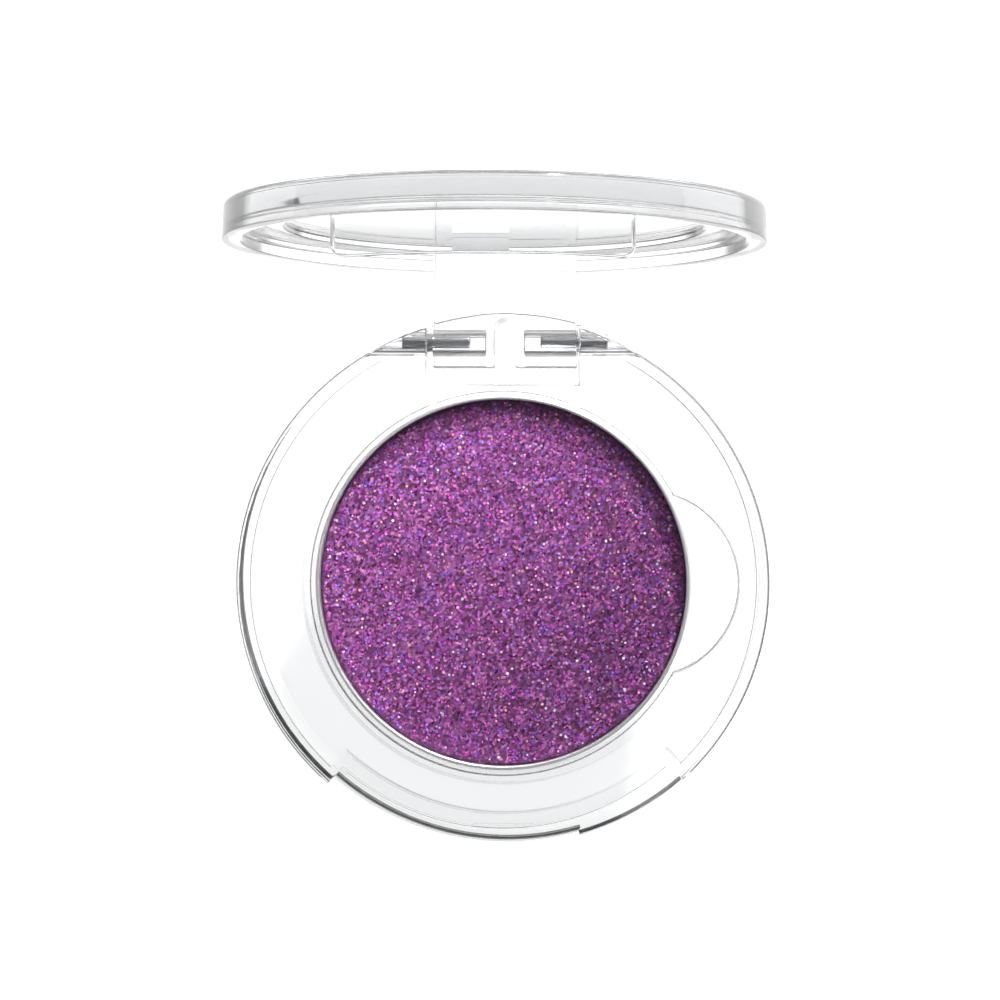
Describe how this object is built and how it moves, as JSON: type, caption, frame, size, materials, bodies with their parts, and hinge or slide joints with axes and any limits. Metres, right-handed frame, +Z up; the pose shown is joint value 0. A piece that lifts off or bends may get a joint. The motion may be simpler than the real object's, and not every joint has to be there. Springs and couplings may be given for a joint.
{
  "type": "eyeshadow_compact",
  "caption": "Round clear plastic single eyeshadow compact, about 40 mm across, standing open, with a pan of purple glitter powder and a flip lid on two steel hinge pins",
  "frame": {"origin": "centre of the flat underside", "axes": "+Z up, +Y towards the hinge at the back, +X towards the finger notch beside the pan"},
  "size_m": [0.04, 0.0505, 0.0408],
  "materials": {
    "clear_plastic": "clear, polished",
    "white_label": "matte, blank",
    "adhesive_foam": "matte foam tape",
    "aluminium_pan": "satin pressed",
    "glitter_powder": "pressed powder with glitter",
    "steel_pin": "drawn wire"
  },
  "bodies": {
    "base": {"base_shell": "clear_plastic", "base_cover": "clear_plastic", "base_label": "white_label", "pan_adhesive": "adhesive_foam", "powder_pan": "aluminium_pan", "pressed_powder": "glitter_powder", "hinge_pin_left": "steel_pin", "hinge_pin_right": "steel_pin"},
    "lid": {"lid": "clear_plastic"}
  },
  "joints": [
    {"name": "lid_hinge", "type": "hinge", "parent": "base", "child": "lid", "pos_m": [0, 0.0179, 0.00385], "axis": [1, 0, 0], "range_deg": [0, 97.4]}
  ]
}
